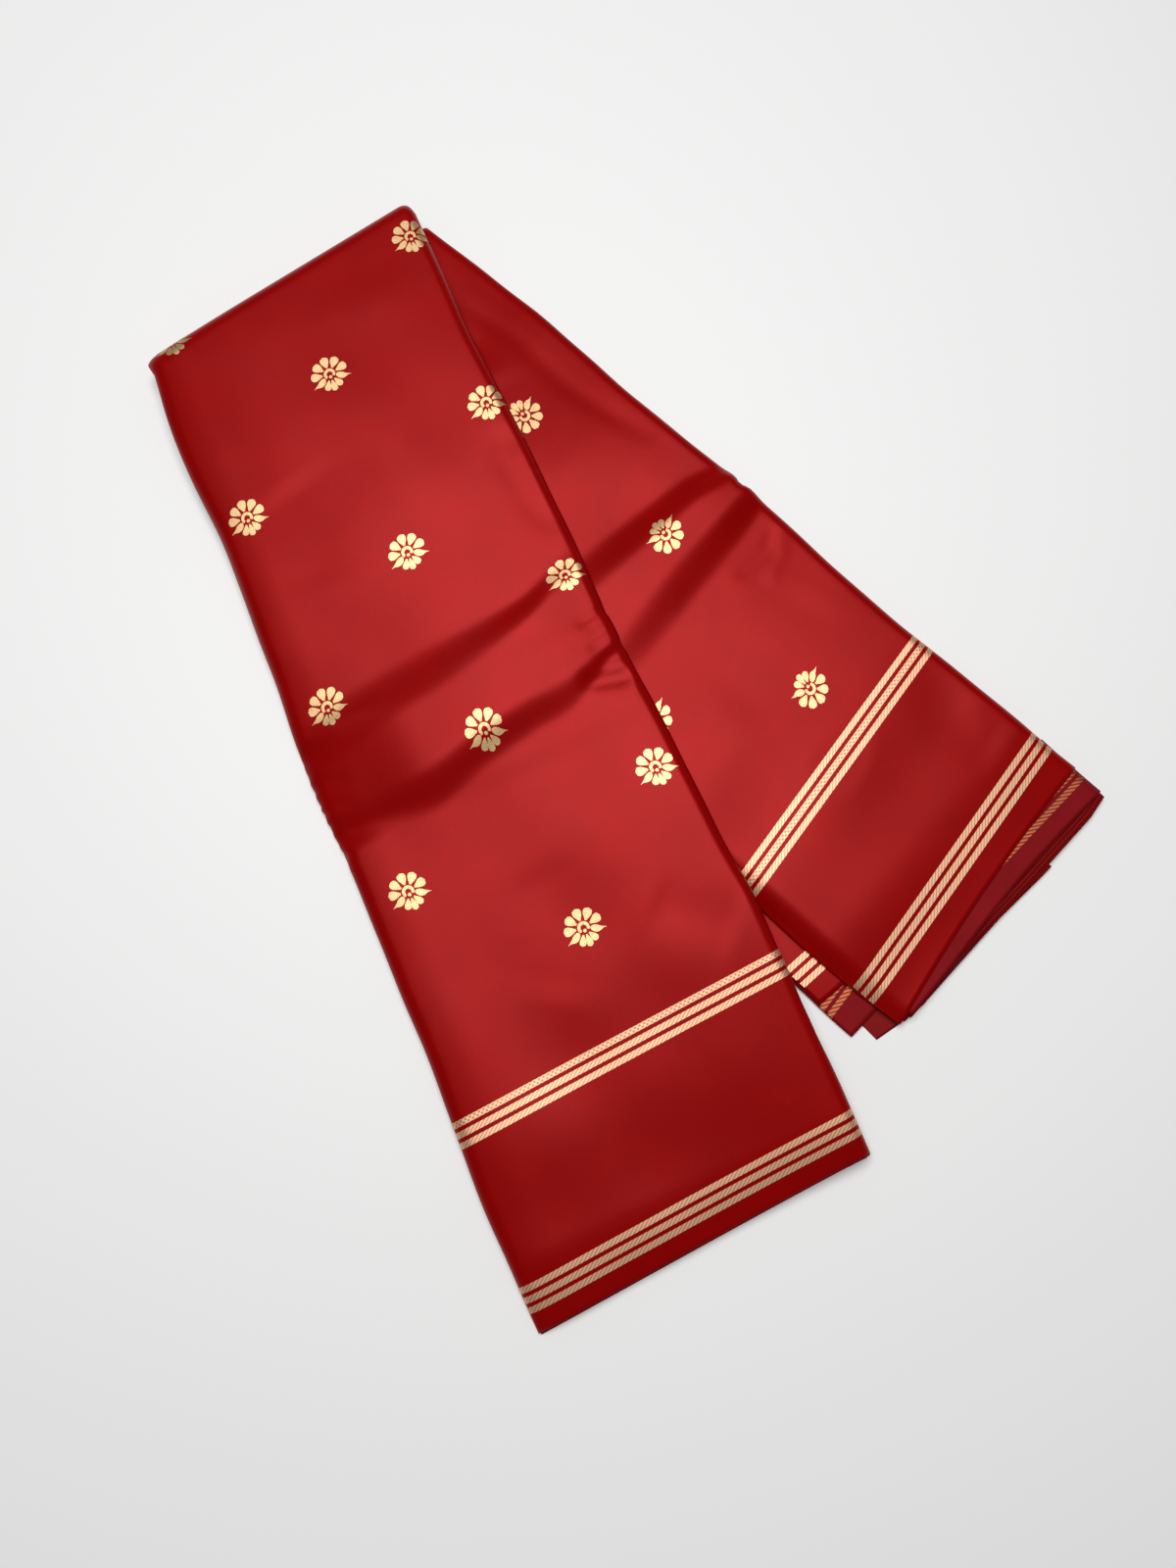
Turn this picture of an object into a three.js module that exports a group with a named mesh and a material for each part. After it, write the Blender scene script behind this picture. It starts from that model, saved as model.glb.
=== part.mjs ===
// A silk saree, folded along its length into a strip and then doubled over once.
// The top leg lies across the under leg, which fans out to its right.
// X is to the right, Y towards the fold and Z up from the table that the saree lies on.
import * as THREE from "three";

// Driving dimensions, in millimetres and degrees.
const WALL = 1.2; // one sheet of cloth that shows, with the air it traps
const GAP = 0.3; // between neighbouring pieces
const PANEL_DEPTH = WALL + GAP; // from the outer face of a sheet to the layers below it
const FOLD_MIDPOINT = new THREE.Vector2(-187.646, 253.462); // puts the origin under the middle
const TOP_HEADING = -66.2; // way from the fold to the top leg's end, from +X
const UNDER_HEADING = -42.4;
const FOLD_HEADING = 34.1; // line of the fold itself
const FOLD_REACH = 3.6; // nose of the fold, out from its midpoint
const NOSE_DEPTH = 11; // from the nose back to where the cloth lies flat
const UNDER_HEIGHT = 12; // the under leg's pile of layers
const TOP_HEIGHT = 12.5; // the top leg's pile of layers
const TOP_BASE = UNDER_HEIGHT + GAP; // underside of the top leg where it lies on the under leg
const TOP_LENGTH = 563; // fold midpoint to the selvages at the top leg's end
const UNDER_LENGTH = 511; // fold midpoint to the uppermost selvage of the under leg
const ROLL = 11; // width over which a long edge rolls down
// How the top leg comes down to the table beyond the under leg's edge: first its underside.
const DESCENT = { floor: { start: 8, width: 48 }, crown: { start: -12, width: 76 } };
const SHOULDER = 0.45; // share of a pile's height at which its edge is widest
const RIM = 0.7; // share of the shoulder's height at which the outer sheet ends

// The top leg's long edges, across from its centre line.
const TOP_EDGES = [
  { along: 5, left: -84.5, right: 84 },
  { along: 60, left: -88.3, right: 85 },
  { along: 125, left: -87, right: 87 },
  { along: 180, left: -87.2, right: 83 },
  { along: 228, left: -89.5, right: 86 },
  { along: 262, left: -92, right: 88 },
  { along: 350, left: -88.8, right: 89.5 },
  { along: 440, left: -89.5, right: 92 },
  { along: 505, left: -91.8, right: 96.3 },
  { along: 570, left: -90, right: 96.3 },
];

// The under leg's long edges; its lower layers spread out further to the left.
const UNDER_EDGES = [
  { along: 5, left: -79, right: 82.5, spread: -87.5 },
  { along: 60, left: -77, right: 86, spread: -80 },
  { along: 135, left: -77, right: 87.5, spread: -84 },
  { along: 215, left: -77, right: 86.8, spread: -87 },
  { along: 275, left: -77, right: 89, spread: -90 },
  { along: 330, left: -77, right: 86, spread: -92 },
  { along: 400, left: -77, right: 86, spread: -94.5 },
  { along: 470, left: -77, right: 87.5, spread: -97 },
  { along: 505, left: -77, right: 88.5, spread: -98 },
  { along: 525, left: -76, right: 89, spread: -86 },
];

// Creases that run across each leg: their place along it and their depth.
const TOP_CREASES = [
  { across: -92, first: 250, firstDepth: 1.2, second: 302, secondDepth: 3.4 },
  { across: -60, first: 243, firstDepth: 1.8, second: 293, secondDepth: 2.6 },
  { across: 0, first: 238, firstDepth: 2.6, second: 286, secondDepth: 2.2 },
  { across: 50, first: 231, firstDepth: 3.0, second: 279, secondDepth: 2.8 },
  { across: 92, first: 226, firstDepth: 3.4, second: 268, secondDepth: 4.2 },
];
const UNDER_CREASES = [
  { across: -90, first: 262, firstDepth: 0, second: 283, secondDepth: 0 },
  { across: -20, first: 258, firstDepth: 1.6, second: 283, secondDepth: 1.8 },
  { across: 20, first: 251, firstDepth: 2.4, second: 284, secondDepth: 2.6 },
  { across: 60, first: 253, firstDepth: 2.8, second: 284, secondDepth: 3.4 },
  { across: 90, first: 262, firstDepth: 3.0, second: 279, secondDepth: 4.0 },
];
const CREASE_WIDTH = 12;

// The fold isn't square to either leg. Where its turn ends, along a leg, and how a line
// that lies along the fold leans there.
const askew = (heading) => THREE.MathUtils.degToRad(FOLD_HEADING - heading - 90);
const turnEnd = (heading) => (NOSE_DEPTH - FOLD_REACH) / Math.cos(askew(heading));
const slope = (heading) => Math.tan(askew(heading));
const TURN_CLEARANCE = 1; // from where the turn ends below to where the layers lie flat

// Where each leg is sampled along its length: closer at the creases and the ends.
const TOP_STATIONS = [
  turnEnd(TOP_HEADING) + GAP + 0.1,
  24, 50, 80, 112, 145, 178, 204, 218, 229, 238, 247, 257, 267, 276, 285, 294, 304, 318, 340, 370, 402, 434,
  466, 498, 526, 548, TOP_LENGTH,
];
const UNDER_STATIONS = [
  turnEnd(UNDER_HEADING) + 2 * TURN_CLEARANCE,
  26, 52, 82, 114, 148, 182, 212, 232, 243, 251, 260, 268, 276, 284, 293, 304, 322, 348, 380, 412, 444, 477,
  494, UNDER_LENGTH - 4, UNDER_LENGTH,
];
const LEAF_STATIONS = [...UNDER_STATIONS.slice(-4, -1), UNDER_LENGTH + 7];
const LEAF_SKEWS = [0, 0.02, 0.06, 0.1]; // lower layers end squarer than the uppermost one
const CROWN_NODES = [0, 0.12, 0.26, 0.42, 0.58, 0.74, 0.88, 1]; // across the flat of a leg
const ROLL_ANGLES = [-90, 0, 22, 45, 67]; // round a long edge, from its lower rim up to the crown

const clamp01 = (x) => Math.min(Math.max(x, 0), 1);
const smooth = (x) => clamp01(x) ** 2 * (3 - 2 * clamp01(x));
const mix = (a, b, k) => a + (b - a) * k;

// One column of a table at a place along or across, between its rows.
function lookUp(table, by, column, place) {
  const next = table.findIndex((row) => row[by] >= place);
  if (next === 0) return table[0][column];
  if (next < 0) return table[table.length - 1][column];
  const [a, b] = [table[next - 1], table[next]];
  return mix(a[column], b[column], smooth((place - a[by]) / (b[by] - a[by])));
}

// Turns a leg's own (along, across) into the plan, and back.
function legFrame(heading) {
  const turn = THREE.MathUtils.degToRad(heading);
  const along = new THREE.Vector2(Math.cos(turn), Math.sin(turn));
  const across = new THREE.Vector2(-along.y, along.x);
  const toPlan = (s, t) => FOLD_MIDPOINT.clone().addScaledVector(along, s).addScaledVector(across, t);
  const fromPlan = (p) => {
    const offset = new THREE.Vector2(p.x, p.y).sub(FOLD_MIDPOINT);
    return { s: offset.dot(along), t: offset.dot(across) };
  };
  return { toPlan, fromPlan };
}
const topFrame = legFrame(TOP_HEADING);
const underFrame = legFrame(UNDER_HEADING);
const foldOut = legFrame(FOLD_HEADING + 90).toPlan(1, 0).sub(FOLD_MIDPOINT);

// A trough of a given depth whose floor is `offset` away.
const trough = (offset, depth) => -depth * Math.exp(-((offset / CREASE_WIDTH) ** 2) * 2.2);

function creaseHeight(creases, s, t) {
  const at = (column) => lookUp(creases, "across", column, t);
  return trough(s - at("first"), at("firstDepth")) + trough(s - at("second"), at("secondDepth"));
}

// How far the top leg has come down to the table, 0 on the under leg and 1 beyond it.
function descent(p, { start, width }) {
  const { s, t } = underFrame.fromPlan(p);
  const beyond = lookUp(UNDER_EDGES, "along", "spread", s) - t;
  return smooth((beyond - start) / width);
}

const topFloor = (p) => TOP_BASE * (1 - descent(p, DESCENT.floor));

function topCrown(s, t) {
  const p = topFrame.toPlan(s, t);
  const pile = TOP_HEIGHT - 2.5 * smooth((s - 430) / 130);
  return TOP_BASE * (1 - descent(p, DESCENT.crown)) + pile + creaseHeight(TOP_CREASES, s, t);
}

function underCrown(s, t) {
  return UNDER_HEIGHT - 1.5 * smooth((s - 455) / 60) + creaseHeight(UNDER_CREASES, s, t);
}

// The nodes of a leg's section, from the left rim over the crown to the right rim.
const SECTION = [
  ...ROLL_ANGLES.map((angle) => ({ side: -1, angle })),
  ...CROWN_NODES.map((crown) => ({ crown })),
  ...ROLL_ANGLES.map((angle) => ({ side: 1, angle })).reverse(),
];

// Under the left edge of the under leg's pile lie a ledge and the two leaves that show on it.
const LEDGE = WALL;
const SHELF = LEDGE + 2 * PANEL_DEPTH + GAP;
const TUCK = 5; // how far those leaves reach in under the pile

// Each leg: how its ends lean, where its long edges run, and the heights of its upper face,
// of what it lies on, and of what its left edge lies on.
const topLeg = {
  frame: topFrame,
  lean: (station, t) =>
    slope(TOP_HEADING) * -t * (1 - smooth(station / 230)) - 0.055 * t * smooth((station - 380) / 170),
  edges: (station) => [
    lookUp(TOP_EDGES, "along", "left", station),
    lookUp(TOP_EDGES, "along", "right", station),
  ],
  crown: topCrown,
  floor: topFloor,
  shelf: 0,
};
const underLeg = {
  frame: underFrame,
  lean: (station, t) =>
    slope(UNDER_HEADING) * -t * (1 - smooth(station / 230)) - 0.1 * t * smooth((station - 380) / 120),
  edges: (station) => [
    lookUp(UNDER_EDGES, "along", "left", station),
    lookUp(UNDER_EDGES, "along", "right", station),
  ],
  crown: underCrown,
  floor: () => 0,
  shelf: SHELF,
};

// A point of a leg's outer face.
function legPoint(leg, station, node) {
  const [left, right] = leg.edges(station);
  const side = node.side ?? 0;
  const edge = side < 0 ? left : right;
  const angle = THREE.MathUtils.degToRad(Math.max(node.angle ?? 90, 0));
  const inset = side ? ROLL * (1 - Math.cos(angle)) : 0;
  const t = side ? edge - side * inset : mix(left + ROLL, right - ROLL, node.crown);
  const s = station + leg.lean(station, t);
  const plan = leg.frame.toPlan(s, t);
  const crown = leg.crown(s, t);
  const floor = side < 0 ? Math.max(leg.floor(plan), leg.shelf) : leg.floor(plan);
  const shoulder = mix(floor, crown, SHOULDER);
  const rise = node.angle < 0 ? mix(floor, shoulder, RIM) : mix(shoulder, crown, Math.sin(angle));
  return new THREE.Vector3(plan.x, plan.y, rise);
}

// The points of one section, each moved inwards from the outer face by `depth`.
function section(leg, station, depth, nodes = SECTION) {
  const STEP = 0.5;
  return nodes.map((node, i) => {
    const here = legPoint(leg, station, node);
    const ahead = legPoint(leg, station + STEP, node).sub(legPoint(leg, station - STEP, node));
    const before = legPoint(leg, station, nodes[Math.max(i - 1, 0)]);
    const after = legPoint(leg, station, nodes[Math.min(i + 1, nodes.length - 1)]);
    const normal = ahead.cross(after.sub(before)).normalize();
    return here.addScaledVector(normal, -depth);
  });
}

// A closed body skinned over rings that all have the same number of points. From the point
// `turned` on, a ring runs back, so its quads are split along their other diagonal.
function loft(rings, capFaces, turned = Infinity) {
  const count = rings[0].length;
  const points = rings.flat();
  const faces = [];
  for (let i = 0; i + 1 < rings.length; i++) {
    for (let j = 0; j < count; j++) {
      const [a, b] = [i * count + j, i * count + ((j + 1) % count)];
      if (j < turned) faces.push([a, b, b + count], [a, b + count, a + count]);
      else faces.push([a, b, a + count], [b, b + count, a + count]);
    }
  }
  const last = (rings.length - 1) * count;
  for (const [a, b, c] of capFaces(rings[0])) faces.push([c, b, a]);
  for (const [a, b, c] of capFaces(rings[rings.length - 1])) faces.push([last + a, last + b, last + c]);
  const geometry = new THREE.BufferGeometry().setFromPoints(points);
  geometry.setIndex(volumeOf(points, faces) < 0 ? faces.flatMap(([a, b, c]) => [c, b, a]) : faces.flat());
  geometry.computeVertexNormals();
  return geometry;
}

// A cap over the ring of a thick body, found in the ring's own upright plane. Its level
// stretches are bowed inwards by a hair, so that every point on them is a corner.
const CAP_BOW = 1e-3;

function filledCap(ring) {
  const far = ring.reduce((best, p) => (p.distanceTo(ring[0]) > best.distanceTo(ring[0]) ? p : best));
  const level = far.clone().sub(ring[0]).setZ(0).normalize();
  const places = ring.map((p) => p.clone().sub(ring[0]).dot(level));
  const [low, high] = [Math.min(...places), Math.max(...places)];
  const middle = (Math.min(...ring.map((p) => p.z)) + Math.max(...ring.map((p) => p.z))) / 2;
  const flat = ring.map((p, i) => {
    const share = (2 * places[i] - low - high) / (high - low);
    return new THREE.Vector2(places[i], p.z + Math.sign(middle - p.z) * CAP_BOW * (1 - share ** 2));
  });
  const turned = THREE.ShapeUtils.area(flat) < 0;
  const order = flat.map((_, i) => (turned ? flat.length - 1 - i : i));
  const faces = THREE.ShapeUtils.triangulateShape(order.map((i) => flat[i]), []);
  return faces.map((face) => {
    const [a, b, c] = face.map((i) => order[i]);
    return turned ? [c, b, a] : [a, b, c];
  });
}

// A cap over the ring of a thin sheet: outer points out, inner points back.
function stripCap(ring) {
  const last = ring.length - 1;
  const faces = [];
  for (let i = 0; i < (last - 1) / 2; i++) {
    faces.push([i, i + 1, last - i - 1], [i, last - i - 1, last - i]);
  }
  return faces;
}

function volumeOf(points, faces) {
  let volume = 0;
  for (const [a, b, c] of faces) volume += points[a].dot(points[b].clone().cross(points[c])) / 6;
  return volume;
}

// A sheet of cloth: its outer points and its inner points make one flat ring at each station.
const sheet = (outer, inner) =>
  loft(outer.map((points, i) => [...points, ...inner[i].slice().reverse()]), stripCap, outer[0].length);

function panel(leg, stations) {
  const outer = stations.map((station) => section(leg, station, 0));
  const inner = stations.map((station) => section(leg, station, WALL));
  return sheet(outer, inner);
}

// The hidden layers' folded edges down one side: rounded ledges from the rim to the floor.
const LEDGES = [
  { drop: 0, inset: PANEL_DEPTH },
  { drop: 0.1, inset: 0.5 },
  { drop: 0.4, inset: 0.3 },
  { drop: 0.5, inset: 1.4 },
  { drop: 0.62, inset: 0.6 },
  { drop: 1, inset: 1.6 },
];

function ledges(leg, station, side, rim) {
  const [left, right] = leg.edges(station);
  const edge = side < 0 ? left : right;
  return LEDGES.map(({ drop, inset }) => {
    const t = edge - side * inset;
    const plan = leg.frame.toPlan(station + leg.lean(station, t), t);
    return new THREE.Vector3(plan.x, plan.y, mix(rim.z - GAP, leg.floor(plan), drop));
  });
}

// The floor of a leg from its right side back to its left side.
function floorPoints(leg, station) {
  const [left, right] = leg.edges(station);
  return CROWN_NODES.slice(1, -1).reverse().map((node) => {
    const t = mix(left + 3, right - 3, node);
    const plan = leg.frame.toPlan(station + leg.lean(station, t), t);
    return new THREE.Vector3(plan.x, plan.y, leg.floor(plan));
  });
}

// The hidden layers of the top leg at one station.
function topRing(station) {
  const over = section(topLeg, station, PANEL_DEPTH);
  const [leftRim, rightRim] = [over[0], over[over.length - 1]];
  return [
    ...over,
    ...ledges(topLeg, station, 1, rightRim),
    ...floorPoints(topLeg, station),
    ...ledges(topLeg, station, -1, leftRim).reverse(),
  ];
}

// Layers behind the nose of the fold: a ring moved out towards the nose and made lower.
const NOSE_STEPS = [8.6, 5.6, 2.6];
const NOSE_NARROWING = 0.84;
const noseShare = (out) => Math.sqrt(1 - (out / (NOSE_DEPTH - PANEL_DEPTH)) ** 2);

function towardsNose(ring, out, level, height) {
  const centre = ring.reduce((sum, p) => sum.add(p), new THREE.Vector3()).divideScalar(ring.length);
  return ring.map((p) => {
    const narrowed = mix(NOSE_NARROWING, 1, noseShare(out));
    const x = mix(centre.x, p.x, narrowed) + foldOut.x * out;
    const y = mix(centre.y, p.y, narrowed) + foldOut.y * out;
    return new THREE.Vector3(x, y, level + (height(p.z) - level) * noseShare(out));
  });
}

function topLayers() {
  const first = topRing(TOP_STATIONS[0]);
  const nose = NOSE_STEPS.map((out) => towardsNose(first, out, TOP_BASE, (z) => z));
  const body = TOP_STATIONS.slice(0, -1).map((station) => topRing(station));
  // The selvages end in steps, the lower ones a little further out.
  const END_STEPS = [
    { station: TOP_LENGTH - 2.4, share: 1 },
    { station: TOP_LENGTH - 2.2, share: 0.72 },
    { station: TOP_LENGTH - 0.4, share: 0.68 },
    { station: TOP_LENGTH - 0.2, share: 0.4 },
    { station: TOP_LENGTH + 1.6, share: 0.36 },
  ];
  const steps = END_STEPS.map(({ station, share }) =>
    topRing(station).map((p) => p.setZ(mix(topFloor(p), p.z, share))),
  );
  return loft([...nose, ...body, ...steps], filledCap);
}

// Points of the under leg moved along it, the further the more to the right they lie.
function skewed(points, skew) {
  return points.map((p) => {
    const shift = skew * underFrame.fromPlan(p).t;
    const plan = underFrame.toPlan(shift, 0).sub(FOLD_MIDPOINT);
    return new THREE.Vector3(p.x + plan.x, p.y + plan.y, p.z);
  });
}

// The under leg's layers: the main pile, with its lowest layers spread out on the left.
// `sunk` lowers the crown, to make room for a further leaf below the uppermost sheet.
function underRing(station, sunk = 0) {
  const over = section(underLeg, station, PANEL_DEPTH);
  const [low, high] = [over[0].z, over[ROLL_ANGLES.length].z];
  for (const p of over) p.z -= sunk * clamp01((p.z - low) / (high - low));
  const [left] = underLeg.edges(station);
  const spread = lookUp(UNDER_EDGES, "along", "spread", station);
  const corner = (t, z) => {
    const plan = underFrame.toPlan(station + underLeg.lean(station, t), t);
    return new THREE.Vector3(plan.x, plan.y, z);
  };
  return [
    ...over,
    ...ledges(underLeg, station, 1, over[over.length - 1]),
    ...floorPoints(underLeg, station),
    corner(spread + 1, 0),
    corner(spread, LEDGE * 0.5),
    corner(spread + 0.6, LEDGE),
    corner(left + TUCK + GAP, LEDGE),
    corner(left + TUCK + GAP, SHELF),
    corner(left + 2, SHELF),
  ];
}

function underLayers() {
  const level = UNDER_HEIGHT - PANEL_DEPTH;
  const first = underRing(UNDER_STATIONS[0] - TURN_CLEARANCE);
  const lifted = (z) => mix(PANEL_DEPTH, level, z / level);
  const nose = NOSE_STEPS.map((out) => towardsNose(first, out, level, lifted));
  const lip = first.map((p) => p.clone().setZ(lifted(p.z)));
  const body = UNDER_STATIONS.slice(0, -LEAF_STATIONS.length).map((station) => underRing(station));
  const END_STEPS = [
    { station: LEAF_STATIONS[0] - 0.9, sunk: 0, share: 1 },
    { station: LEAF_STATIONS[0] - 0.6, sunk: PANEL_DEPTH, share: 1 },
    ...LEAF_STATIONS.map((station, i) => ({ station, sunk: PANEL_DEPTH, share: 1, skew: LEAF_SKEWS[i] })),
    { station: UNDER_LENGTH + 9, sunk: PANEL_DEPTH, share: 0.94, skew: 0.12 },
    { station: UNDER_LENGTH + 9.2, sunk: PANEL_DEPTH, share: 0.66, skew: 0.12 },
    { station: UNDER_LENGTH + 11, sunk: PANEL_DEPTH, share: 0.62, skew: 0.13 },
    { station: UNDER_LENGTH + 11.2, sunk: PANEL_DEPTH, share: 0.34, skew: 0.13 },
    { station: UNDER_LENGTH + 12.6, sunk: PANEL_DEPTH, share: 0.3, skew: 0.13 },
  ];
  const steps = END_STEPS.map(({ station, sunk, share, skew = 0 }) =>
    skewed(underRing(station, sunk), skew).map((p) => p.setZ(p.z * share)),
  );
  return loft([...nose, lip, ...body, ...steps], filledCap);
}

// The leaf that shows wrong side up beyond the uppermost selvage.
function endLeaf() {
  const nodes = SECTION.slice(ROLL_ANGLES.length, SECTION.length - ROLL_ANGLES.length);
  const ring = (depth) =>
    LEAF_STATIONS.map((station, i) => skewed(section(underLeg, station, depth, nodes), LEAF_SKEWS[i]));
  return sheet(ring(PANEL_DEPTH), ring(PANEL_DEPTH + WALL));
}

// One of the two low leaves seen between the legs; `outer` is where its left edge lies.
const CORNER = 5; // how far the corner at its left end is drawn back

function spreadLeaf(from, to, outer, height) {
  const halves = [0, 0.5, 1];
  const face = (z) =>
    halves.map((k) => {
      const s = mix(from, to, k);
      const inner = lookUp(UNDER_EDGES, "along", "left", s) + TUCK;
      return halves.map((j) => {
        const plan = underFrame.toPlan(s - CORNER * (1 - j) * k, mix(outer, inner, j));
        return new THREE.Vector3(plan.x, plan.y, z);
      });
    });
  return sheet(face(height + WALL), face(height));
}

// The cloth that turns over the fold, from the table round the nose to the top leg's crown.
function foldTurn() {
  const half = 87;
  const ANGLES = [-90, -66, -42, -20, 0, 20, 42, 66, 90];
  const ACROSS = [-1, -0.985, -0.95, -0.87, -0.6, -0.2, 0.2, 0.6, 0.87, 0.95, 0.985, 1];
  const middle = (TOP_BASE + TOP_HEIGHT) / 2;
  const ring = (share, depth) => {
    const rounding = Math.sqrt(1 - clamp01((Math.abs(share) * half - half + ROLL) / ROLL) ** 2);
    const w = share * (half - depth * 0.2);
    return ANGLES.map((angle) => {
      const turn = THREE.MathUtils.degToRad(angle);
      const full = angle > 0 ? mix(SHOULDER, 1, rounding) : 1;
      const height = (middle - depth) * Math.sin(turn) * full;
      const out = FOLD_REACH - NOSE_DEPTH + (NOSE_DEPTH - depth) * Math.cos(turn) * mix(0.85, 1, rounding);
      const line = legFrame(FOLD_HEADING).toPlan(w, 0).addScaledVector(foldOut, out);
      return new THREE.Vector3(line.x, line.y, middle + height);
    });
  };
  return sheet(ACROSS.map((share) => ring(share, 0)), ACROSS.map((share) => ring(share, WALL)));
}

// Satin-silk finishes.
const satin = new THREE.MeshStandardMaterial({ color: 0xa5201f, roughness: 0.42, metalness: 0 });
const shadedSatin = new THREE.MeshStandardMaterial({ color: 0x86181a, roughness: 0.5, metalness: 0 });
const wrongSide = new THREE.MeshStandardMaterial({ color: 0x7c1a22, roughness: 0.65, metalness: 0 });

const saree = new THREE.Group();
const add = (name, geometry, material) => {
  const mesh = new THREE.Mesh(geometry, material);
  mesh.name = name;
  saree.add(mesh);
};

add("under_layers", underLayers(), shadedSatin);
add("under_panel", panel(underLeg, UNDER_STATIONS), satin);
add("end_leaf", endLeaf(), wrongSide);
add("lower_leaf_right_side", spreadLeaf(404, 476, -95, LEDGE + 2 * GAP + WALL), satin);
add("lower_leaf_wrong_side", spreadLeaf(404, 506, -98.5, LEDGE + GAP), wrongSide);
add("top_layers", topLayers(), shadedSatin);
add("top_panel", panel(topLeg, TOP_STATIONS), satin);
add("fold_turn", foldTurn(), satin);

export default saree;
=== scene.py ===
from math import asin, atan2, cos, hypot, pi, radians, sin, sqrt, tan
import bpy
import numpy as np
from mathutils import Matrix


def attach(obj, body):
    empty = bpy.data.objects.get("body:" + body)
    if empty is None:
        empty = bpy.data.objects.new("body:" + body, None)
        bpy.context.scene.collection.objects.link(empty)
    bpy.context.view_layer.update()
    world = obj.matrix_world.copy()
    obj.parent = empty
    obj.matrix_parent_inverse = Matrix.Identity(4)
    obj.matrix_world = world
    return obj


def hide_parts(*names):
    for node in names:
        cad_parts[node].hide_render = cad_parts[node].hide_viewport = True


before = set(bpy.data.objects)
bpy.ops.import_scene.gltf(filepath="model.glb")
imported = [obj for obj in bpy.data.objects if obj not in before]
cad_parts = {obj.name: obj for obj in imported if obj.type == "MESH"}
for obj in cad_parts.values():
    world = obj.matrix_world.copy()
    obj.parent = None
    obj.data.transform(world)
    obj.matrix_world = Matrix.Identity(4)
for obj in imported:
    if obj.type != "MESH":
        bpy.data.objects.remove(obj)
scene = bpy.context.scene
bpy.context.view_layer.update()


# ---------------- camera, light and table
# A camera held a little short of straight over the saree, on a plain pale table top.
# One broad soft lamp overhead, towards the fold, and an even pale room do the lighting.
CAMERA_AT = (-0.016626, -0.135398, 0.64586)
CAMERA_TILT = radians(9.488)  # away from straight down, towards the fold
LENS = 28.125  # millimetres, for a 36 mm long side


def new_object(name, data):
    made = bpy.data.objects.new(name, data)
    scene.collection.objects.link(made)
    return made


camera_data = bpy.data.cameras.new("camera")
camera_data.lens = LENS
camera_data.sensor_width = 36.0
camera = new_object("camera", camera_data)
camera.location = CAMERA_AT
camera.rotation_euler = (CAMERA_TILT, 0.0, 0.0)
scene.camera = camera
scene.view_settings.view_transform = "Standard"


def linear(hex_colour):
    """An sRGB colour such as "a5201f" as the linear RGBA that Blender takes."""
    parts = [int(hex_colour[i:i + 2], 16) / 255 for i in (0, 2, 4)]
    return [p / 12.92 if p <= 0.04045 else ((p + 0.055) / 1.055) ** 2.4 for p in parts] + [1.0]


def add(tree, kind, inputs=None, **settings):
    """Adds a node. An input that is a socket, or a node's first output, is linked; others are set."""
    node = tree.nodes.new(kind)
    for name, value in settings.items():
        setattr(node, name, value)
    for socket, value in (inputs or {}).items():
        if isinstance(value, bpy.types.Node):
            value = value.outputs[0]
        if isinstance(value, bpy.types.NodeSocket):
            tree.links.new(value, node.inputs[socket])
        else:
            node.inputs[socket].default_value = value
    return node


def new_material(name, **constants):
    """A new material, its node tree and its shader, with these constants on the shader."""
    made = bpy.data.materials.new(name)
    made.use_nodes = True
    made.node_tree.nodes.clear()
    shader = add(made.node_tree, "ShaderNodeBsdfPrincipled", constants)
    add(made.node_tree, "ShaderNodeOutputMaterial", {"Surface": shader})
    return made, made.node_tree, shader


LAMP_AT = (-0.13, 0.36, 1.8)  # it faces the middle of the table
lamp_data = bpy.data.lights.new("overhead_lamp", "AREA")
lamp_data.shape = "DISK"
lamp_data.size = 1.38
lamp_data.energy = 31.0
lamp = new_object("overhead_lamp", lamp_data)
lamp.location = LAMP_AT
lamp.rotation_euler = (atan2(hypot(*LAMP_AT[:2]), LAMP_AT[2]), 0.0, atan2(LAMP_AT[0], -LAMP_AT[1]))

world = bpy.data.worlds.new("pale_room")
world.use_nodes = True
room = world.node_tree.nodes["Background"].inputs
room["Color"].default_value = linear("f4f6f8")
room["Strength"].default_value = 0.15
scene.world = world

bpy.ops.mesh.primitive_plane_add(size=12.0, location=(0.0, 0.0, 0.0))
table = bpy.context.object
table.name = "table_top"
table_paint, _, _ = new_material("white_laminate", **{"Base Color": linear("f5f5f4"), "Roughness": 0.5})
table.data.materials.append(table_paint)


# ---------------- the top leg's outer cloth
# The outermost layer of the folded saree: red satin-weave silk that comes up off the table,
# turns over the fold and lies down the whole top leg to its selvage. Sizes are millimetres;
# s runs along a leg from the fold, and t across it.
MM = 0.001
CLOTH = 0.7  # thickness drawn for one layer; the silk itself is about 0.2
FOLD_MIDPOINT = np.array([-187.646, 253.462])
TOP_HEADING, UNDER_HEADING, FOLD_HEADING = -66.2, -42.4, 34.1  # degrees from +X
FOLD = radians(FOLD_HEADING)
FOLD_LINE = np.array([cos(FOLD), sin(FOLD)])
FOLD_OUT = np.array([-sin(FOLD), cos(FOLD)])
FOLD_REACH, NOSE_DEPTH = 3.6, 11.0  # the nose's overhang starts and ends this far out
TOP_LENGTH, TOP_HEIGHT, TOP_BASE = 563.0, 12.5, 12.3
NOSE_HEIGHT = (TOP_BASE + TOP_HEIGHT) / 2  # of its middle
SHOULDER, RIM = 0.45, 0.6  # where the rounded edge ends and the rim starts, as shares of a height
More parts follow.
